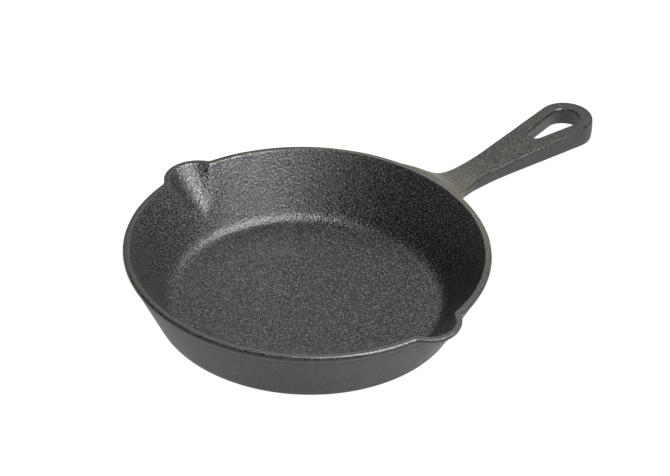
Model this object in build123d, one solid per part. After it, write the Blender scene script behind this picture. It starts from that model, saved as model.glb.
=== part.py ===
from build123d import *
import os
from math import asin, atan, cos, hypot, sin, sqrt

# A cast iron skillet. It is one casting: a flat-bottomed round pan with a flaring wall, a lipped
# rim and two pour spouts, and a flat handle with a teardrop hanging hole. The casting is kept as two
# nodes, "pan" and "handle", which meet face to face at a flat cut across the neck of the handle.
#
# Millimetres, +Z up. The origin is the middle of the flat base, on the surface the skillet rests on.
# The handle points along +X, and the spouts are at +Y and -Y.

# Pan
rim_radius = 101.5          # outside of the lip
pan_height = 39.0
base_corner_radius = 83.7   # where the outer wall's line would meet the resting plane
rim_thickness = 3.9         # of the wall at the rim, from where it thickens towards the floor
floor_thickness = 3.4
floor_radius = 77.0         # where the inner wall's line would meet the floor
base_edge_round = 3.5
floor_fillet = 8.5
lip_depth = 3.4             # from the top of the rim to the foot of the lip
lip_overhang = 1.0          # how far the lip stands out from the wall below it
rim_edge_round = 1.1

# Pour spouts, one each side
spout_tip = 111.3           # from the middle of the pan to a spout's outer corner, before it is rounded
channel_tip = 106.6         # from the middle of the pan to the back of a spout's channel
spout_outer_round = 20.0    # plan radius of a spout's outside at the rim
spout_inner_round = 15.5    # plan radius of its channel at the rim
spout_foot_height = 9.0     # a spout tapers away down to this height
channel_foot_height = 17.0  # and its channel down to this one
spout_foot_round = 0.6

# Root: where the handle grows out of the pan
root_sweep = 30.0           # plan radius of the arcs from the rim to the neck
root_slope_run = 15.0       # the top slopes down from the rim over this distance
root_top_round = 18.0
root_underside_round = 6.0

# Handle
neck_cut = 136.0            # the flat cut between the two nodes
neck_half_width = 9.3
neck_straight_end = 146.0   # the neck's straight sides stop here
neck_flare_round = 60.0
handle_end_radius = 16.8
handle_reach = 232.0        # from the middle of the pan to the end of the handle
handle_top = 30.1           # height of the top face at the neck cut
handle_top_rise = 0.031     # rise per millimetre outward
handle_underside = 22.0     # height of the underside at the neck cut
handle_underside_fall = 0.03
handle_edge_round = 1.3

# Hanging hole: a teardrop, its wide end outward
hole_big_radius = 8.9
hole_big_x = 214.8
hole_small_radius = 4.2
hole_small_x = 188.4
hole_edge_round = 0.9

# Worked out from the sizes above
lip_foot_height = pan_height - lip_depth
wall_slope = (rim_radius - lip_overhang - base_corner_radius) / lip_foot_height
rim_run = rim_thickness / cos(atan(wall_slope))
inner_rim_radius = rim_radius - lip_overhang + wall_slope * lip_depth - rim_run
inner_slope = (inner_rim_radius - floor_radius) / (pan_height - floor_thickness)
overrun = 30.0              # how far a trimming shape runs past what it trims


def outer_wall_radius(z):
    return base_corner_radius + wall_slope * z


def inner_wall_radius(z):
    return floor_radius + inner_slope * (z - floor_thickness)


def handle_top_at(x):
    return handle_top + handle_top_rise * (x - neck_cut)


def handle_underside_at(x):
    return handle_underside - handle_underside_fall * (x - neck_cut)


def section(points, rounds=()):
    """A flat face in the XZ plane through (x, z) points, with corners (x, z, radius) rounded."""
    face = make_face(Polyline([(x, 0, z) for x, z in points], close=True)).face()
    for x, z, radius in rounds:
        corner = face.vertices().sort_by_distance(Vector(x, 0, z))[0]
        face = face.fillet_2d(radius, [corner])
    return face


def outer_form():
    """The pan as if it were solid: base, flaring wall and lip."""
    outline = section(
        [
            (0, 0),
            (base_corner_radius, 0),
            (outer_wall_radius(lip_foot_height), lip_foot_height),
            (rim_radius, lip_foot_height + lip_overhang),
            (rim_radius, pan_height),
            (0, pan_height),
        ],
        [(base_corner_radius, 0, base_edge_round)],
    )
    return revolve(outline, Axis.Z)


def hollow():
    """The space inside the pan, carried up past the rim."""
    over_rim = pan_height + overrun
    outline = section(
        [
            (0, floor_thickness),
            (floor_radius, floor_thickness),
            (inner_wall_radius(over_rim), over_rim),
            (0, over_rim),
        ],
        [(floor_radius, floor_thickness, floor_fillet)],
    )
    return revolve(outline, Axis.Z)


def spout_cone(side, plan_round, tip, wall_radius, foot_height, top_height):
    """A leaning cone from a foot inside the wall up through the spout's circle at the rim."""
    foot_distance = wall_radius(foot_height) - spout_foot_round
    stretch = (top_height - foot_height) / (pan_height - foot_height)
    top_distance = foot_distance + (tip - plan_round - foot_distance) * stretch
    top_round = spout_foot_round + (plan_round - spout_foot_round) * stretch
    foot = Pos(0, side * foot_distance, foot_height) * Circle(spout_foot_round)
    top = Pos(0, side * top_distance, top_height) * Circle(top_round)
    return loft([foot.face(), top.face()])


def root_plan():
    """Plan of the root: the neck, widened by two large arcs until it meets the rim's circle."""
    sweep_y = neck_half_width + root_sweep
    sweep_x = sqrt((rim_radius + root_sweep) ** 2 - sweep_y ** 2)
    share = rim_radius / (rim_radius + root_sweep)
    rim_x = sweep_x * share
    rim_y = sweep_y * share
    middle_x = (rim_x + sweep_x) / 2
    middle_y = sweep_y - sqrt(root_sweep ** 2 - (sweep_x - middle_x) ** 2)
    inner_x = inner_wall_radius(0)
    edges = []
    for side in (1, -1):
        rim_end = (rim_x, side * rim_y)
        sweep_middle = (middle_x, side * middle_y)
        neck_end = (sweep_x, side * neck_half_width)
        cut_corner = (neck_cut, side * neck_half_width)
        edges += [
            Line((inner_x, 0), (inner_x, side * rim_y)),
            Line((inner_x, side * rim_y), rim_end),
            ThreePointArc(rim_end, sweep_middle, neck_end),
            Line(neck_end, cut_corner),
            Line(cut_corner, (neck_cut, 0)),
        ]
    return make_face(edges).face()


def edges_leading_from(form, cut_face):
    """The long edges that start at the corners of a cut face."""
    corners = cut_face.vertices()
    chosen = []
    for edge in form.edges():
        touches = any(edge.distance_to(corner) < 0.001 for corner in corners)
        lies_on_cut = abs(edge.center().X - cut_face.center().X) < 0.001
        if touches and not lies_on_cut:
            chosen.append(edge)
    return chosen


def root():
    """The root, its top sloping down from the rim to the level of the handle."""
    inner = inner_wall_radius(0)
    outer = neck_cut + overrun
    slope_end = rim_radius + root_slope_run
    heights = section(
        [
            (inner, handle_underside_at(inner)),
            (outer, handle_underside_at(outer)),
            (outer, handle_top_at(outer)),
            (slope_end, handle_top_at(slope_end)),
            (rim_radius - rim_edge_round, pan_height),
            (inner, pan_height),
        ],
        [(slope_end, handle_top_at(slope_end), root_top_round)],
    )
    form = extrude(root_plan(), pan_height) & extrude(heights, rim_radius, both=True)
    cut_face = form.faces().sort_by(Axis.X)[-1]
    return fillet(edges_leading_from(form, cut_face), handle_edge_round)


def edges_under_root(body):
    """The edges where the flat underside of the root cuts the cone of the outer wall."""
    chosen = []
    for edge in body.edges().filter_by(GeomType.ELLIPSE):
        middle = edge.center()
        if middle.X < rim_radius and abs(middle.Z - handle_underside_at(middle.X)) < 0.5:
            chosen.append(edge)
    return chosen


def pan():
    body = outer_form()
    for side in (1, -1):
        body += spout_cone(
            side, spout_outer_round, spout_tip, outer_wall_radius, spout_foot_height, pan_height
        )
    body -= hollow()
    for side in (1, -1):
        body -= spout_cone(
            side, spout_inner_round, channel_tip, inner_wall_radius, channel_foot_height,
            pan_height + overrun,
        )
    rim_edges = body.edges().group_by(Axis.Z)[-1]
    body = fillet(rim_edges, rim_edge_round)
    body += root() - hollow()
    return fillet(edges_under_root(body), root_underside_round)


def handle_plan():
    """Plan of the handle: straight neck, flaring sides tangent to a round end."""
    end_x = handle_reach - handle_end_radius
    knee_to_end = end_x - neck_straight_end
    knee_distance = hypot(knee_to_end, neck_half_width)
    flare = asin(handle_end_radius / knee_distance) - atan(neck_half_width / knee_to_end)
    tangent_x = end_x - handle_end_radius * sin(flare)
    tangent_y = handle_end_radius * cos(flare)
    edges = [
        Line((neck_cut, -neck_half_width), (neck_cut, neck_half_width)),
        ThreePointArc((tangent_x, tangent_y), (handle_reach, 0), (tangent_x, -tangent_y)),
    ]
    for side in (1, -1):
        knee = (neck_straight_end, side * neck_half_width)
        edges.append(Line((neck_cut, side * neck_half_width), knee))
        edges.append(Line(knee, (tangent_x, side * tangent_y)))
    plan = make_face(edges).face()
    knees = [v for v in plan.vertices() if abs(v.X - neck_straight_end) < 0.001]
    return plan.fillet_2d(neck_flare_round, knees)


def hanging_hole():
    big_end = Pos(hole_big_x, 0) * Circle(hole_big_radius)
    small_end = Pos(hole_small_x, 0) * Circle(hole_small_radius)
    outline = make_hull(big_end.edges() + small_end.edges())
    return extrude(outline, pan_height)


def is_new(edge, old_edges):
    return all((edge.center() - old.center()).length > 0.001 for old in old_edges)


def is_upright(edge):
    size = edge.bounding_box().size
    return size.Z > max(size.X, size.Y)


def handle():
    outer = handle_reach + overrun
    heights = section([
        (neck_cut, handle_underside_at(neck_cut)),
        (outer, handle_underside_at(outer)),
        (outer, handle_top_at(outer)),
        (neck_cut, handle_top_at(neck_cut)),
    ])
    body = extrude(handle_plan(), pan_height) & extrude(heights, rim_radius, both=True)
    cut_face = body.faces().sort_by(Axis.X)[0]
    body = fillet(edges_leading_from(body, cut_face), handle_edge_round)
    before = body.edges()
    body -= hanging_hole()
    rims = [edge for edge in body.edges() if is_new(edge, before) and not is_upright(edge)]
    return fillet(rims, hole_edge_round)


os.makedirs("parts", exist_ok=True)
export_step(pan(), "parts/pan.step")
export_step(handle(), "parts/handle.step")
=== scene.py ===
from math import atan, atan2, cos, degrees, hypot, pi, radians, sin, sqrt, tan

import bmesh
import bpy
import numpy as np
from mathutils import Matrix, Vector, noise


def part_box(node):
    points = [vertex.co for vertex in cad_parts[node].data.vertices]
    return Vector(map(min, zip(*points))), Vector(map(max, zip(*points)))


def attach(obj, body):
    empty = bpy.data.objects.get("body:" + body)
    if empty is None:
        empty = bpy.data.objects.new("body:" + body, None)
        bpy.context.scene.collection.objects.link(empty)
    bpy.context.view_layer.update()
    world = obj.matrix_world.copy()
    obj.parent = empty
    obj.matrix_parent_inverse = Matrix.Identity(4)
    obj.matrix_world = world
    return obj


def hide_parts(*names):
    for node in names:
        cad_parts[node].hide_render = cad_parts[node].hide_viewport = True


# The looks of a cast iron skillet. The casting is worked out as one continuous skin from the sizes
# below, smoothed, and then cut at the neck into the same two pieces as the frame's nodes.
# Metres, +Z up, the handle along +X, the pour spouts at +Y and -Y.

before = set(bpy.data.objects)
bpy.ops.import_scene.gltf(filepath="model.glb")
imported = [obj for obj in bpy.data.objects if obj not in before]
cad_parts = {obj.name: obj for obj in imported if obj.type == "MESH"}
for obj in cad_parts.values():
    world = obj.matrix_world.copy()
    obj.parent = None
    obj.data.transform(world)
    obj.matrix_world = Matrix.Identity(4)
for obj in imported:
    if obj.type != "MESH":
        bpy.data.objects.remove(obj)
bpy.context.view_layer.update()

MM = 0.001
pan_low, pan_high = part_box("pan")
handle_low, handle_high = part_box("handle")

# Bowl
rim_radius = -pan_low.x
pan_height = pan_high.z
lip_overhang = 1.0 * MM         # how far the lip stands out from the wall below it
lip_depth = 3.4 * MM            # from the top of the rim to the foot of the lip
lip_foot = pan_height - lip_depth
lip_round = 1.2 * MM
lip_slope = 1.1 * MM            # the lip's underside comes out to the rim over this height
lip_bend = (0.55 * MM, 0.25 * MM)   # a point of it: in from the rim, and up from the lip's foot
undercut = 0.35 * MM            # a slight hollow in the wall just under the lip
undercut_drop = 0.5 * MM        # it is deepest this far below the lip's foot
undercut_start = 2.2 * MM       # and begins this far below it
base_radius = 83.7 * MM         # where the outer wall's line meets the resting plane
base_round = 3.5 * MM
wall_slope = (rim_radius - lip_overhang - base_radius) / lip_foot
wall_angle = atan(1 / wall_slope)
rim_thickness = 3.9 * MM
floor_height = 3.4 * MM
floor_radius = 77.0 * MM        # where the inner wall's line would meet the floor
floor_round = 8.5 * MM
inner_edge_round = 0.9 * MM
inner_rim_radius = base_radius + wall_slope * pan_height - rim_thickness / sin(wall_angle)
inner_slope = (inner_rim_radius - floor_radius) / (pan_height - floor_height)
inner_angle = atan(1 / inner_slope)

# Pour spouts
spout_reach = pan_high.y + 0.6 * MM     # the smoothing draws it back in
spout_round = 20.0 * MM
channel_reach = 106.6 * MM
channel_round = 15.5 * MM
spout_foot = 9.0 * MM           # a spout tapers away down to this height
channel_foot = 17.0 * MM        # and its channel down to this one
spout_narrowing = 1.0           # a spout's round shrinks evenly from the rim down to its foot
channel_narrowing = 0.4         # a channel keeps more of its width, so its sides are steeper
spout_blend = 1.0 * MM          # softness of the corner between a spout and the round wall
least_blend = 0.05 * MM         # what is left of it at the spout's foot

# Handle
neck_cut = handle_low.x
handle_reach = handle_high.x
end_round = handle_high.y
neck_half_width = 9.3 * MM
knee_x = 146.0 * MM             # the neck's sides start to flare here
knee_blend = 9.0 * MM
top_at_cut = 30.1 * MM
top_rise = 0.031
underside_at_cut = 22.0 * MM
underside_fall = 0.03
side_draft = 0.4 * MM           # the sides are fullest at mid height, where the mould parted
top_edge_round = 1.0 * MM
bottom_edge_round = 1.6 * MM

# Root, where the handle grows out of the bowl
root_angle = radians(14.5)      # half of the root's share of the rim
root_foot = 17.0 * MM           # the root's underside starts this high on the wall
root_foot_power = 2.5           # how quickly the underside leaves the wall and levels out
root_slope_run = 27.0 * MM      # the top comes down from the rim over this distance
root_slope_power = 3.5          # how much of that drop comes close to the rim
root_end_x = 132.0 * MM
root_crown = 0.8 * MM           # the top of the root falls this much towards its sides
root_pull = 0.8                 # how far the root's sides keep along the rim and along the neck

# Hanging hole
hole_big_x = 214.8 * MM
hole_big_radius = 8.9 * MM
hole_small_x = 188.4 * MM
hole_small_radius = 4.2 * MM
hole_edge_round = 0.9 * MM
hole_foot_round = 2.6 * MM      # of its edge on the underside
hole_draft = 1.6 * MM           # the hole widens this much towards the underside
hole_lean = 1.5 * MM            # and its underside end sits this much further out
hole_zone_x = 176.0 * MM        # from here outward the grid runs round the hole

# Spacing of the mesh, closer where the skin bends, so that the smoothing keeps the bend
columns = 20                    # across the handle, and across the root's share of the rim
spout_zone = radians(14)        # to each side of a spout, where the bowl's columns are closest
front_columns = 28              # from the root to a spout's zone
spout_columns = 30              # across a spout's zone
back_columns = 36               # from a spout's zone to the back of the bowl
base_rings = (60 * MM, 68 * MM, 75 * MM, 79.5 * MM)     # radii, from the middle out
base_edge_steps = 4
low_wall_rings = (6 * MM, 10 * MM, 13.5 * MM)           # heights, below the root's foot
upper_wall_rows = 4
inner_wall_rows = 9
inner_wall_gaps = (3 * MM, 2 * MM)                      # from these rows to the rim and the fillet
fillet_steps = 5
floor_rings = (69 * MM, 65 * MM, 60 * MM)               # radii, from the wall in
root_steps = 12
root_end_steps = 3              # from the root's end to the cut across the neck
neck_steps = 14                 # from that cut to the hole's zone
zone_side_steps = 14            # along each side of the hole's zone
round_end_stations = 27         # round the end of the handle
edge_turns = (30, 60, 90)       # degrees, of the rows round an edge after its first row
edge_rows = len(edge_turns)
between_edges = (0.25, 0.5, 0.75)       # rows of a side or the hole's wall, between its edges
collar_shares = (0, 0.2, 0.45, 0.72, 0.9, 1)            # of the way from the side to the hole
weld_distance = 0.001 * MM      # where two grids meet, points this near are joined
cut_tolerance = 0.05 * MM       # a point this near the cut across the neck counts as on it

# Unevenness of the skin, as a sand mould leaves it
swell_size = 19 * MM
swell_depth = 0.10 * MM
ripple_size = 6 * MM
ripple_depth = 0.035 * MM
level_height = 4 * MM           # it fades away below this height, so that the base stays flat

# Grain of the iron. There are three kinds of surface: the cooking surface inside the bowl, the ground
# tops of the rim and the handle, which are smoothed after casting, and the outside, left as cast.
pebble_size = 1.3 * MM
pebble_softness = 0.6
pebble_level = 0.45             # about the middle of the pebbles' height
grit_size = 0.8 * MM
grit_share = 1.4                # of the grit's height, against the pebbles'
cooking_depth = 0.26 * MM
outside_size = 1.6 * MM         # of the grain outside
outside_depth = 0.20 * MM
ground_size = 1.0 * MM          # of the grain on the ground tops
ground_depth = 0.35 * MM
edge_smoothing = 0.28 * MM      # how much of that depth is rubbed off the edges
speckle_size = 0.75 * MM        # of the bright dots
speckle_levels = (0.42, 0.70)   # of the noise, from between the dots to on them
oil_size = 5 * MM               # of the duller and glossier patches outside
outside_roughness = (0.44, 0.56)
cooking_roughness = 0.24
edge_roughness = 0.13
ior = 1.45

# Colours, each between the bright dots of the grain and on them
outside_colours = ((0.004, 0.004, 0.004, 1), (0.026, 0.0265, 0.0265, 1))
cooking_colours = ((0.0015, 0.0015, 0.0015, 1), (0.039, 0.0395, 0.0395, 1))
ground_colours = ((0.002, 0.0018, 0.0015, 1), (0.050, 0.046, 0.040, 1))
# Painted sheen: the root's paler colours stand in for the light that the root's slope catches
root_sheen_colours = ((0.024, 0.022, 0.017, 1), (0.072, 0.066, 0.053, 1))
sheen_from = (40 * MM, 110 * MM)     # the root's painted sheen, a paler colour standing in for the light its slope catches, comes in between these values of X
sheen_to = (105 * MM, 152 * MM)      # and goes out again between these

# Studio
horizon_light = 0.7
overhead_light = 0.01
horizon_fade = (0.08, 0.28)     # heights on a unit sphere, between which one turns into the other
floor_half = 3.0
floor_colour = (0.08, 0.08, 0.08, 1)
floor_roughness = 0.9
floor_gloss = 0.1
floor_glow = 1.0

# Camera
view_azimuth = -134.86          # degrees from +X towards +Y
view_elevation = 36.28
view_roll = 2.0
view_distance = 14 * rim_radius
view_aim = Vector((26.0, 4.7, 29.6)) * MM
lens = 136.66
sensor_width = 36.0


def smooth_max(a, b, blend):
    """The larger of two values, with the corner between them softened over a blend distance."""
    overlap = np.maximum(blend - np.abs(a - b), 0) / blend
    return np.maximum(a, b) + overlap * overlap * blend / 4


def outer_line(z):
    """Radius of the round outer wall at a height."""
    return base_radius + wall_slope * z


def inner_line(z):
    """Radius of the round inner wall at a height."""
    return floor_radius + inner_slope * (z - floor_height)


def with_spouts(plain_radius, z, angles, reach, plan_round, foot_height, wall_line, narrowing):
    """A row's radius at each angle: the round wall, swelling into a leaning round at each spout."""
    share = max(z - foot_height, 0) / (pan_height - foot_height)
    if share == 0:
        return np.full(len(angles), plain_radius)
    row_round = plan_round * share ** narrowing
    foot = wall_line(foot_height)
    centre = foot + (reach - foot) * share - row_round
    from_axis = np.abs(np.abs(angles) - pi / 2)
    across = centre * np.sin(from_axis)
    half_chord = np.sqrt(np.maximum(row_round ** 2 - across ** 2, 0))
    spout = np.where(across < row_round, centre * np.cos(from_axis) + half_chord, 0)
    offset = plain_radius - wall_line(z)
    return smooth_max(wall_line(z), spout, spout_blend * share + least_blend) + offset


def spread(start, end, count):
    """Evenly spaced values from the start up to but not at the end."""
    return list(np.linspace(start, end, count + 1))[:-1]


def column_angles():
    """Angles of the bowl's columns: close together at the spouts, and even across the root."""
    zone_start = pi / 2 - spout_zone
    zone_end = pi / 2 + spout_zone
    half = spread(0, root_angle, columns // 2)
    half += spread(root_angle, zone_start, front_columns)
    half += spread(zone_start, zone_end, spout_columns)
    half += spread(zone_end, pi, back_columns)
    return np.array([-pi] + [-a for a in half[:0:-1]] + half)


def arc(centre_r, centre_z, radius, start, end, steps):
    """(r, z) points of an arc between two angles in degrees, measured from outward (+r) to up."""
    turns = np.radians(np.linspace(start, end, steps + 1))
    return [(centre_r + radius * cos(a), centre_z + radius * sin(a)) for a in turns]


def outer_profile():
    """(r, z) rows of the bowl's outside, from the base out and up to the edge of the flat rim."""
    tilt = degrees(wall_angle)
    corner = base_radius - base_round * tan(wall_angle / 2)
    rows = [(r, 0) for r in base_rings]
    rows += arc(corner, base_round, base_round, -90, tilt - 90, base_edge_steps)
    rows += [(outer_line(z), z) for z in low_wall_rings]
    plain_top = lip_foot - undercut_start
    rows += [(outer_line(z), z) for z in np.linspace(root_foot, plain_top, upper_wall_rows)]
    deepest = lip_foot - undercut_drop
    rows.append((outer_line(deepest) - undercut, deepest))
    rows.append((rim_radius - lip_bend[0], lip_foot + lip_bend[1]))
    rows.append((rim_radius, lip_foot + lip_slope))
    rows += arc(rim_radius - lip_round, pan_height - lip_round, lip_round, 0, 90, edge_rows)
    return rows


def inner_profile():
    """(r, z) rows of the bowl's inside, from the inner edge of the flat rim down to the floor."""
    tilt = degrees(inner_angle)
    edge_centre = inner_rim_radius + inner_edge_round * tan(inner_angle / 2)
    edge_height = pan_height - inner_edge_round
    rows = arc(edge_centre, edge_height, inner_edge_round, 90, tilt + 90, edge_rows)
    floor_centre = floor_radius - floor_round * tan(inner_angle / 2)
    fillet_height = floor_height + floor_round
    fillet = arc(floor_centre, fillet_height, floor_round, tilt - 90, -90, fillet_steps)
    wall_top = pan_height - inner_wall_gaps[0]
    wall_foot = fillet[0][1] + inner_wall_gaps[1]
    rows += [(inner_line(z), z) for z in np.linspace(wall_top, wall_foot, inner_wall_rows)]
    rows += fillet
    rows += [(r, floor_height) for r in floor_rings]
    return rows


def ring_at(radii, angles, z):
    """A level ring of points, one for each column of the bowl."""
    return np.stack([radii * np.cos(angles), radii * np.sin(angles), np.full(len(angles), z)], 1)


def bowl_rings(angles):
    """The rings of the bowl's skin, outside then inside."""
    outside = []
    for r, z in outer_profile():
        radii = with_spouts(
            r, z, angles, spout_reach, spout_round, spout_foot, outer_line, spout_narrowing
        )
        outside.append(ring_at(radii, angles, z))
    inside = []
    for r, z in inner_profile():
        radii = with_spouts(
            r, z, angles, channel_reach, channel_round, channel_foot, inner_line, channel_narrowing
        )
        inside.append(ring_at(radii, angles, z))
    return np.array(outside), np.array(inside)


def disc_patch(ring):
    """A square grid of points that fills a ring, one quarter of the ring along each side."""
    n = len(ring) // 4
    near = ring[:n + 1]
    right = ring[n:2 * n + 1]
    far = ring[2 * n:3 * n + 1][::-1]
    left = np.concatenate([ring[3 * n:], ring[:1]])[::-1]
    u = np.linspace(0, 1, n + 1)[:, None, None]
    v = np.linspace(0, 1, n + 1)[None, :, None]
    sides = (1 - v) * near[:, None] + v * far[:, None] + (1 - u) * left[None] + u * right[None]
    near_corners = (1 - v) * ((1 - u) * ring[0] + u * ring[n])
    far_corners = v * ((1 - u) * ring[3 * n] + u * ring[2 * n])
    return sides - near_corners - far_corners


def handle_top_at(x):
    """Height of the handle's flat top."""
    return top_at_cut + top_rise * (x - neck_cut)


def handle_underside_at(x):
    """Height of the handle's flat underside."""
    return underside_at_cut - underside_fall * (x - neck_cut)


def tangent_lean(radius, distance):
    """The angle between a line through a point and the tangent to a circle that far from it."""
    return atan2(radius, sqrt(distance ** 2 - radius ** 2))


def flare_angle():
    """The flare of the handle's sides, which leave the knee tangent to the round end."""
    run = handle_reach - end_round - knee_x
    return tangent_lean(end_round, hypot(run, neck_half_width)) - atan(neck_half_width / run)


def half_width_at(x):
    """Half of the handle's width, eased over the knee between the neck and the flare."""
    past = max(x - knee_x + knee_blend, 0)
    ramp = past ** 2 / (4 * knee_blend) if past < 2 * knee_blend else x - knee_x
    return neck_half_width + tan(flare_angle()) * ramp


def side_section(height):
    """(inset, share of the height) rows down one side of the handle, top face to underside."""
    quarter = np.radians((0,) + edge_turns)
    straight = height - top_edge_round - bottom_edge_round
    rows = [(top_edge_round * (1 - sin(a)), top_edge_round * (1 - cos(a))) for a in quarter]
    rows += [(0, top_edge_round + straight * share) for share in between_edges]
    for a in quarter:
        rows.append((bottom_edge_round * (1 - cos(a)), height - bottom_edge_round * (1 - sin(a))))
    section = []
    for inset, depth in rows:
        share = 1 - depth / height
        section.append((inset + side_draft * (2 * share - 1) ** 2, share))
    return section


def handle_ring(x):
    """One closed ring round the handle: across the top to +Y, down, back underneath, and up."""
    top_z = handle_top_at(x)
    bottom_z = handle_underside_at(x)
    width = half_width_at(x)
    height = top_z - bottom_z
    section = side_section(height)
    across = np.linspace(-1, 1, columns + 1)
    top = [(x, y, top_z) for y in across * (width - section[0][0])]
    down = [(x, width - inset, bottom_z + share * height) for inset, share in section[1:-1]]
    under = [(x, y, bottom_z) for y in across[::-1] * (width - section[-1][0])]
    up = [(x, -y, z) for x, y, z in down[::-1]]
    return np.array(top + down + under + up)


def rim_drop(distance):
    """How much of the step from the rim to the handle's top is left at a distance from the rim."""
    u = np.clip(distance / root_slope_run, 0, 1)
    return (1 - u) ** root_slope_power * (1 + root_slope_power * u)


def foot_rise(distance, height):
    """How far the root's underside has risen: it leaves along the wall and levels out."""
    run = height * root_foot_power * wall_slope
    u = np.clip(distance / run, 0, 1)
    return height * (1 - (1 - u) ** root_foot_power)


def hermite(start, start_pull, end, end_pull, t):
    """A point on the curve that leaves the start and reaches the end in the direction of each pull."""
    ease = 3 * t ** 2 - 2 * t ** 3
    return (
        (1 - ease) * start + ease * end
        + (t ** 3 - 2 * t ** 2 + t) * start_pull + (t ** 3 - t ** 2) * end_pull
    )


def root_rings(window):
    """Rings that flow from a window in the bowl's skin out to the neck."""
    start = np.concatenate([window[-1], window[-2:0:-1, -1], window[0, ::-1], window[1:-1, 0]])
    end = handle_ring(root_end_x)
    angle = np.arctan2(start[:, 1], start[:, 0])
    # The middle leaves the wall straight outward, and the sides leave along it.
    heading = angle - pi / 2 * np.clip(angle / root_angle, -1, 1) ** 3
    pull = root_pull * np.hypot(*(end - start)[:, :2].T)[:, None]
    start_pull = pull * np.stack([np.cos(heading), np.sin(heading)], 1)
    end_pull = pull * np.array([1, 0])

    across = columns + 1
    side = len(window) - 2
    right = slice(across, across + side)
    left = slice(2 * across + side, 2 * across + 2 * side)
    under_right = right.stop
    under_left = left.start - 1
    rim_edge = hypot(*start[0, :2])
    foot_edge = hypot(*start[under_right, :2])
    end_height = handle_top_at(root_end_x) - handle_underside_at(root_end_x)
    start_share = (start[:, 2] - root_foot) / (pan_height - root_foot)
    end_share = (end[:, 2] - handle_underside_at(root_end_x)) / end_height

    off_middle = np.zeros(len(start))
    off_middle[:across] = np.linspace(-1, 1, across)

    rings = []
    for t in np.linspace(0, 1, root_steps + 1):
        plan = hermite(start[:, :2], start_pull, end[:, :2], end_pull, t)
        distance = np.hypot(plan[:, 0], plan[:, 1])
        level = handle_top_at(plan[:, 0])
        top_z = level + (pan_height - level) * rim_drop(distance - rim_edge)
        top_z = top_z - root_crown * (4 * t * (1 - t)) ** 2 * off_middle ** 4
        rise = handle_underside_at(plan[:, 0]) - root_foot
        bottom_z = root_foot + foot_rise(distance - foot_edge, rise)
        z = np.where(np.arange(len(plan)) < across, top_z, bottom_z)
        share = start_share + (end_share - start_share) * t
        for part, high, low in ((right, across - 1, under_right), (left, 0, under_left)):
            z[part] = bottom_z[low] + share[part] * (top_z[high] - bottom_z[low])
        rings.append(np.column_stack([plan, z]))
    return np.array(rings)


def outline_stations():
    """Points round the outside of the hole's zone, from +Y to -Y, with their outward directions."""
    flare = flare_angle()
    end_x = handle_reach - end_round
    side_end = end_x - end_round * sin(flare)
    side = [(x, half_width_at(x)) for x in spread(hole_zone_x, side_end, zone_side_steps)]
    side_out = [(0, 1)] + [(-sin(flare), cos(flare))] * (len(side) - 1)
    turn = np.linspace(pi / 2 + flare, -pi / 2 - flare, round_end_stations)
    round_out = [(cos(a), sin(a)) for a in turn]
    round_end = [(end_x + end_round * x, end_round * y) for x, y in round_out]
    back = [(x, -y) for x, y in side[::-1]]
    back_out = [(x, -y) for x, y in side_out[::-1]]
    return np.array(side + round_end + back), np.array(side_out + round_out + back_out)


def hole_outline(count, grow):
    """Evenly spaced points round the teardrop hole, grown by a distance, from its -X tip by +Y."""
    lean = tangent_lean(hole_big_radius - hole_small_radius, hole_big_x - hole_small_x)
    small = hole_small_radius + grow
    big = hole_big_radius + grow
    small_arc = small * (pi / 2 - lean)
    straight = (hole_big_x - hole_small_x) * cos(lean)
    half = small_arc + straight + big * (pi / 2 + lean)
    corner = pi / 2 + lean
    points = []
    for step in range(count):
        run = 2 * half * step / count
        side = 1 if run <= half else -1
        run = min(run, 2 * half - run)
        past = run - small_arc
        if past < 0:
            x = hole_small_x + small * cos(pi - run / small)
            y = small * sin(pi - run / small)
        elif past < straight:
            x = hole_small_x + small * cos(corner) + past * cos(lean)
            y = small * sin(corner) + past * sin(lean)
        else:
            x = hole_big_x + big * cos(corner - (past - straight) / big)
            y = big * sin(corner - (past - straight) / big)
        points.append((x, side * y))
    return np.array(points)


def side_band(outline, outward):
    """The rounded side of the handle round the hole's zone, top row to bottom row."""
    stations = []
    for point, out in zip(outline, outward):
        height = handle_top_at(point[0]) - handle_underside_at(point[0])
        rows = []
        for inset, share in side_section(height):
            x, y = point - inset * out
            low = handle_underside_at(x)
            rows.append((x, y, low + share * (handle_top_at(x) - low)))
        stations.append(rows)
    return np.array(stations).transpose(1, 0, 2)


def loop_row(outer, inner, share, height_at):
    """A row part of the way from an outer loop to the hole's edge, on the handle's flat face."""
    plan = outer[:, :2] + (inner - outer[:, :2]) * share
    return np.column_stack([plan, height_at(plan[:, 0])])


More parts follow.
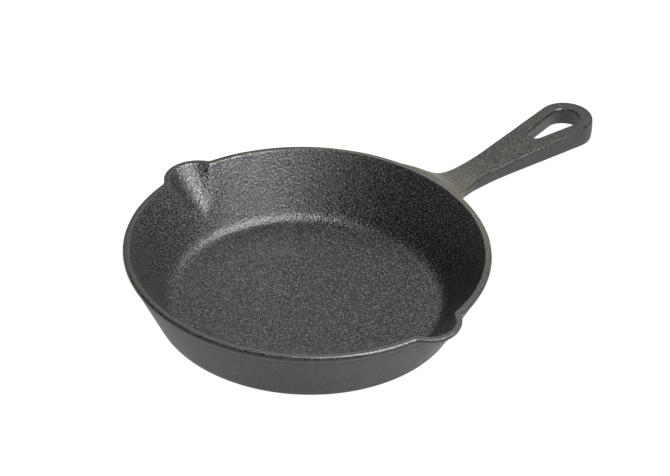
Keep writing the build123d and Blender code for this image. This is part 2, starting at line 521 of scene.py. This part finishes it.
def hole_collar(band):
    """From the top face in to the hole, down through it, and back out across the underside."""
    middle = columns // 2
    ring = handle_ring(hole_zone_x)
    under = ring[columns + len(band) - 1:][:columns + 1][::-1]
    loops = []
    for line, row in ((ring[:columns + 1], band[0]), (under, band[-1])):
        loops.append(np.concatenate([line[middle:], row[1:], line[1:middle]]))
    count = len(loops[0])
    quarter = np.radians(edge_turns)
    mouth = hole_outline(count, hole_edge_round)
    rows = [loop_row(loops[0], mouth, share, handle_top_at) for share in collar_shares]
    for a in quarter:
        edge = hole_outline(count, hole_edge_round * (1 - sin(a)))
        z = handle_top_at(edge[:, 0]) - hole_edge_round * (1 - cos(a))
        rows.append(np.column_stack([edge, z]))
    for share in between_edges:
        edge = hole_outline(count, hole_draft * share) + (hole_lean * share, 0)
        high = handle_top_at(edge[:, 0]) - hole_edge_round
        low = handle_underside_at(edge[:, 0]) + hole_foot_round
        rows.append(np.column_stack([edge, high + (low - high) * share]))
    for a in quarter[::-1]:
        edge = hole_outline(count, hole_draft + hole_foot_round * (1 - sin(a))) + (hole_lean, 0)
        z = handle_underside_at(edge[:, 0]) + hole_foot_round * (1 - cos(a))
        rows.append(np.column_stack([edge, z]))
    foot = hole_outline(count, hole_draft + hole_foot_round) + (hole_lean, 0)
    rows += [loop_row(loops[1], foot, share, handle_underside_at) for share in collar_shares[::-1]]
    return np.array(rows)


def ground_fade(count, last=0):
    """How far each row is ground top: 1 up to the last flat row, then less over the rounded edge."""
    return np.clip(1 - (np.arange(count) - last) / edge_rows, 0, 1)


def add_patch(bm, grid, cooking, ground, closed=False, skip=None):
    """Adds a grid of points as quads. Cooking and ground say how much each point is of either kind."""
    cooking_layer = bm.verts.layers.float["cooking"]
    ground_layer = bm.verts.layers.float["ground"]
    shares = np.broadcast_arrays(cooking, ground, grid[:, :, 0])[:2]
    rows = []
    for line, inside, top in zip(grid, *shares):
        row = [bm.verts.new(point) for point in line]
        for vert, vert_inside, vert_top in zip(row, inside, top):
            vert[cooking_layer] = vert_inside
            vert[ground_layer] = vert_top
        rows.append(row)
    width = len(rows[0])
    for i in range(len(rows) - 1):
        for j in range(width if closed else width - 1):
            if skip and skip(i, j):
                continue
            k = (j + 1) % width
            bm.faces.new((rows[i][j], rows[i][k], rows[i + 1][k], rows[i + 1][j]))


def casting_cage():
    """The whole casting as one closed quad mesh, before it is smoothed."""
    bm = bmesh.new()
    bm.verts.layers.float.new("cooking")
    bm.verts.layers.float.new("ground")
    angles = column_angles()
    outside, inside = bowl_rings(angles)
    rim_row = len(outside) - 1
    section_rows = len(side_section(1))
    foot_row = rim_row - section_rows + 1
    first = len(angles) // 2 - columns // 2
    last = first + columns

    def in_window(i, j):
        return foot_row <= i < rim_row and first <= j < last

    ground_outside = np.clip((outside[:, 0, 2] - pan_height + lip_round) / lip_round, 0, 1)
    ground_inside = ground_fade(len(inside))
    add_patch(bm, outside, 0, ground_outside[:, None], closed=True, skip=in_window)
    middle = (outside[-1] + inside[0]) / 2
    add_patch(bm, np.array([outside[-1], middle, inside[0]]), 0, 1, closed=True)
    add_patch(bm, inside, 1 - ground_inside[:, None], ground_inside[:, None], closed=True)
    add_patch(bm, disc_patch(outside[0]), 0, 0)
    add_patch(bm, disc_patch(inside[-1]), 1, 0)

    window = outside[foot_row:rim_row + 1, first:last + 1]
    rings = list(root_rings(window))
    rings += [handle_ring(x) for x in spread(root_end_x, neck_cut, root_end_steps)[1:]]
    rings += [handle_ring(x) for x in spread(neck_cut, hole_zone_x, neck_steps)]
    rings.append(handle_ring(hole_zone_x))
    top = np.ones(columns + 1)
    under = np.zeros(columns + 1)
    side = ground_fade(section_rows)[1:-1]
    ground_ring = np.concatenate([top, side, under, side[::-1]])
    add_patch(bm, np.array(rings), 0, ground_ring, closed=True)
    outline, outward = outline_stations()
    band = side_band(outline, outward)
    add_patch(bm, band, 0, ground_fade(len(band))[:, None])
    collar = hole_collar(band)
    ground_collar = ground_fade(len(collar), len(collar_shares) - 1)
    add_patch(bm, collar, 0, ground_collar[:, None], closed=True)
    loose = [vert for vert in bm.verts if not vert.link_faces]
    bmesh.ops.delete(bm, geom=loose, context="VERTS")
    bmesh.ops.remove_doubles(bm, verts=bm.verts, dist=weld_distance)
    bmesh.ops.recalc_face_normals(bm, faces=bm.faces)
    return bm


def smoothed(bm):
    """The cage as a mesh, after one level of subdivision."""
    cage = bpy.data.meshes.new("casting_cage")
    bm.to_mesh(cage)
    bm.free()
    casting = bpy.data.objects.new("casting_cage", cage)
    bpy.context.scene.collection.objects.link(casting)
    subdivision = casting.modifiers.new("smooth", "SUBSURF")
    subdivision.levels = 1
    evaluated = casting.evaluated_get(bpy.context.evaluated_depsgraph_get())
    mesh = bpy.data.meshes.new_from_object(evaluated)
    bpy.data.objects.remove(casting)
    return mesh


def roughen(mesh):
    """Moves the skin in and out a little, as a sand mould leaves it. The flat base stays flat."""
    elsewhere = Vector((7, 3, 5))
    moved = []
    for vert in mesh.vertices:
        swell = noise.noise(vert.co / swell_size)
        ripple = noise.noise(vert.co / ripple_size + elsewhere)
        share = min(vert.co.z / level_height, 1)
        depth = swell * swell_depth + ripple * ripple_depth
        moved.extend(vert.co + vert.normal * share * depth)
    mesh.vertices.foreach_set("co", moved)


def cut_piece(mesh, name, cut_x, outer_side):
    """One side of the casting, cut flat across the neck and closed there."""
    bm = bmesh.new()
    bm.from_mesh(mesh)
    bmesh.ops.bisect_plane(
        bm,
        geom=bm.verts[:] + bm.edges[:] + bm.faces[:],
        dist=cut_tolerance,
        plane_co=(cut_x, 0, 0),
        plane_no=(1, 0, 0),
        clear_inner=outer_side,
        clear_outer=not outer_side,
    )
    for face in bm.faces:
        face.smooth = True
    rim = [edge for edge in bm.edges if len(edge.link_faces) == 1]
    cap = bmesh.ops.contextual_create(bm, geom=rim)["faces"]
    for face in cap:
        face.smooth = False
    for edge in rim:
        edge.smooth = False
    bmesh.ops.triangulate(bm, faces=cap)
    bmesh.ops.recalc_face_normals(bm, faces=bm.faces)
    piece_mesh = bpy.data.meshes.new(name)
    bm.to_mesh(piece_mesh)
    bm.free()
    piece = bpy.data.objects.new(name, piece_mesh)
    bpy.context.scene.collection.objects.link(piece)
    return piece


class Nodes:
    """A short way to add and join shader nodes in one tree."""

    def __init__(self, tree):
        self.tree = tree
        tree.nodes.clear()

    def add(self, kind, inputs=(), **settings):
        node = self.tree.nodes.new(kind)
        for name, value in settings.items():
            setattr(node, name, value)
        for name, value in dict(inputs).items():
            if isinstance(value, bpy.types.NodeSocket):
                self.tree.links.new(value, node.inputs[name])
            else:
                node.inputs[name].default_value = value
        return node

    def math(self, operation, a, b=0.0, c=0.0):
        return self.add("ShaderNodeMath", {0: a, 1: b, 2: c}, operation=operation).outputs[0]

    def mix(self, share, a, b):
        inputs = {"Factor": share, "A": a, "B": b}
        return self.add("ShaderNodeMix", inputs, data_type="FLOAT").outputs["Result"]

    def mix_colour(self, share, a, b):
        """The sockets are numbered because a Mix node names its number and colour inputs alike."""
        inputs = {"Factor": share, 6: a, 7: b}
        return self.add("ShaderNodeMix", inputs, data_type="RGBA").outputs[2]

    def noise(self, place, size, detail=2.0, roughness=0.5):
        inputs = {"Vector": place, "Scale": 1 / size, "Detail": detail, "Roughness": roughness}
        return self.add("ShaderNodeTexNoise", inputs).outputs["Fac"]

    def pebbles(self, place, size):
        inputs = {"Vector": place, "Scale": 1 / size, "Smoothness": pebble_softness}
        return self.add("ShaderNodeTexVoronoi", inputs, feature="SMOOTH_F1").outputs["Distance"]

    def ramp(self, value, start, end, low=0.0, high=1.0):
        """Low at the start, high at the end, eased between them."""
        inputs = {"Value": value, "From Min": start, "From Max": end, "To Min": low, "To Max": high}
        return self.add("ShaderNodeMapRange", inputs, interpolation_type="SMOOTHSTEP").outputs[0]

    def share(self, name):
        """How much of a kind of surface this is, as the mesh says point by point."""
        return self.add("ShaderNodeAttribute", attribute_name=name).outputs["Fac"]


def seasoned_iron():
    """Oiled sand-cast iron: pebbly where food goes, finer outside, browner on the ground tops."""
    material = bpy.data.materials.new("seasoned_iron")
    material.use_nodes = True
    nodes = Nodes(material.node_tree)
    place = nodes.add("ShaderNodeTexCoord").outputs["Object"]
    cooking = nodes.share("cooking")
    ground = nodes.share("ground")

    # The edge share is 1 where the ground top has faded by half, and 0 where it is whole or gone.
    not_ground = nodes.math("SUBTRACT", 1.0, ground)
    edge = nodes.math("MULTIPLY", nodes.math("MULTIPLY", ground, 4.0), not_ground)

    pebble = nodes.math("SUBTRACT", pebble_level, nodes.pebbles(place, pebble_size))
    grit = nodes.math("SUBTRACT", nodes.noise(place, grit_size, 2.0, 0.6), 0.5)
    grain = nodes.math("MULTIPLY_ADD", grit, grit_share, pebble)
    casting = nodes.math("SUBTRACT", nodes.noise(place, outside_size, 3.0), 0.5)
    fine = nodes.math("SUBTRACT", nodes.noise(place, ground_size, 3.0, 0.6), 0.5)
    cooking_height = nodes.math("MULTIPLY", grain, cooking_depth)
    outside_height = nodes.math("MULTIPLY", casting, outside_depth)
    fine_depth = nodes.math("MULTIPLY_ADD", edge, -edge_smoothing, ground_depth)
    ground_height = nodes.math("MULTIPLY", fine, fine_depth)
    cast_height = nodes.mix(cooking, outside_height, cooking_height)
    height = nodes.mix(ground, cast_height, ground_height)
    bump = nodes.add("ShaderNodeBump", {"Strength": 1.0, "Distance": 1.0, "Height": height})

    speckle = nodes.ramp(nodes.noise(place, speckle_size, 2.0), *speckle_levels)
    outside = nodes.mix_colour(speckle, *outside_colours)
    inside = nodes.mix_colour(speckle, *cooking_colours)
    top = nodes.mix_colour(speckle, *ground_colours)
    # Painted sheen: the ground tops round the root get a paler colour where their slope catches the
    # light
    root = nodes.mix_colour(speckle, *root_sheen_colours)
    along = nodes.add("ShaderNodeSeparateXYZ", {0: place}).outputs["X"]
    fading = nodes.ramp(along, *sheen_to, 1.0, 0.0)
    root_sheen_share = nodes.math("MULTIPLY", nodes.ramp(along, *sheen_from), fading)
    top = nodes.mix_colour(root_sheen_share, top, root)
    cast = nodes.mix_colour(cooking, outside, inside)
    colour = nodes.mix_colour(ground, cast, top)

    oiled = nodes.mix(nodes.noise(place, oil_size, 3.0), *outside_roughness)
    roughness = nodes.mix(cooking, oiled, cooking_roughness)
    roughness = nodes.mix(edge, roughness, edge_roughness)

    shader = nodes.add("ShaderNodeBsdfPrincipled", {
        "Base Color": colour,
        "Roughness": roughness,
        "Normal": bump.outputs["Normal"],
        "IOR": ior,
    })
    output = nodes.add("ShaderNodeOutputMaterial")
    nodes.tree.links.new(shader.outputs["BSDF"], output.inputs["Surface"])
    return material


def pale_floor():
    """A large plain floor that gives its own even light, so it shows white and takes no shadow."""
    bm = bmesh.new()
    corners = ((-1, -1), (1, -1), (1, 1), (-1, 1))
    bm.faces.new([bm.verts.new((x * floor_half, y * floor_half, 0)) for x, y in corners])
    mesh = bpy.data.meshes.new("floor")
    bm.to_mesh(mesh)
    bm.free()
    floor = bpy.data.objects.new("floor", mesh)
    bpy.context.scene.collection.objects.link(floor)
    material = bpy.data.materials.new("floor_paint")
    material.use_nodes = True
    paint = material.node_tree.nodes["Principled BSDF"]
    paint.inputs["Base Color"].default_value = floor_colour
    paint.inputs["Roughness"].default_value = floor_roughness
    paint.inputs["Specular IOR Level"].default_value = floor_gloss
    paint.inputs["Emission Color"].default_value = (1, 1, 1, 1)
    paint.inputs["Emission Strength"].default_value = floor_glow
    material.cycles.emission_sampling = "NONE"
    mesh.materials.append(material)


def direction(azimuth, elevation):
    """Unit vector towards an azimuth (degrees from +X towards +Y) and elevation."""
    azimuth = radians(azimuth)
    elevation = radians(elevation)
    return Vector((cos(elevation) * cos(azimuth), cos(elevation) * sin(azimuth), sin(elevation)))


def add_softbox(name, azimuth, elevation, distance, size, power, colour=(1, 1, 1)):
    """A rectangular light that faces the middle of the skillet's base."""
    lamp = bpy.data.lights.new(name, "AREA")
    lamp.shape = "RECTANGLE"
    lamp.size, lamp.size_y = size
    lamp.energy = power
    lamp.color = colour
    softbox = bpy.data.objects.new(name, lamp)
    softbox.location = direction(azimuth, elevation) * distance
    softbox.rotation_euler = (-softbox.location).to_track_quat("-Z", "Y").to_euler()
    bpy.context.scene.collection.objects.link(softbox)


def add_surroundings():
    """A plain studio: bright round the horizon, dim overhead, so that the softboxes do the lighting.
    """
    world = bpy.data.worlds.new("studio")
    world.use_nodes = True
    nodes = Nodes(world.node_tree)
    heading = nodes.add("ShaderNodeTexCoord").outputs["Generated"]
    height = nodes.add("ShaderNodeSeparateXYZ", {0: heading}).outputs["Z"]
    strength = nodes.ramp(height, *horizon_fade, horizon_light, overhead_light)
    background = nodes.add("ShaderNodeBackground", {"Color": (1, 1, 1, 1), "Strength": strength})
    output = nodes.add("ShaderNodeOutputWorld")
    nodes.tree.links.new(background.outputs[0], output.inputs["Surface"])
    bpy.context.scene.world = world


def add_camera():
    """The photo's viewpoint, fitted to the outlines of the rim, base and handle."""
    lens_data = bpy.data.cameras.new("camera")
    lens_data.lens = lens
    lens_data.sensor_width = sensor_width
    lens_data.clip_start = 0.01
    camera = bpy.data.objects.new("camera", lens_data)
    camera.location = direction(view_azimuth, view_elevation) * view_distance
    facing = (view_aim - camera.location).to_track_quat("-Z", "Y").to_matrix()
    roll = Matrix.Rotation(radians(view_roll), 3, "Z")
    camera.rotation_euler = (facing @ roll).to_euler()
    bpy.context.scene.collection.objects.link(camera)
    bpy.context.scene.camera = camera


def add_skillet():
    """The casting, as one piece for each node of the frame."""
    casting = smoothed(casting_cage())
    roughen(casting)
    iron = seasoned_iron()
    for node, outer_side in (("pan", False), ("handle", True)):
        piece = cut_piece(casting, node + "_casting", neck_cut, outer_side)
        piece.data.materials.append(iron)
        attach(piece, "root")
        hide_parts(node)


add_skillet()
pale_floor()
add_surroundings()
add_softbox(
    "top_light", azimuth=-60, elevation=63, distance=1.6, size=(0.55, 0.55), power=62,
    colour=(1.0, 1.0, 0.98),
)
add_softbox(
    "side_light", azimuth=-90, elevation=23, distance=1.6, size=(0.6, 0.4), power=16,
    colour=(0.82, 0.91, 1.0),
)
add_softbox(
    "front_light", azimuth=-110, elevation=60, distance=0.35, size=(0.12, 0.12), power=1.0
)
add_softbox("ridge_light", azimuth=-40, elevation=42, distance=1.0, size=(0.18, 0.18), power=2.4)
add_softbox("back_light", azimuth=45, elevation=45, distance=0.7, size=(0.45, 0.3), power=1.1)
add_camera()
bpy.context.scene.view_settings.view_transform = "Standard"
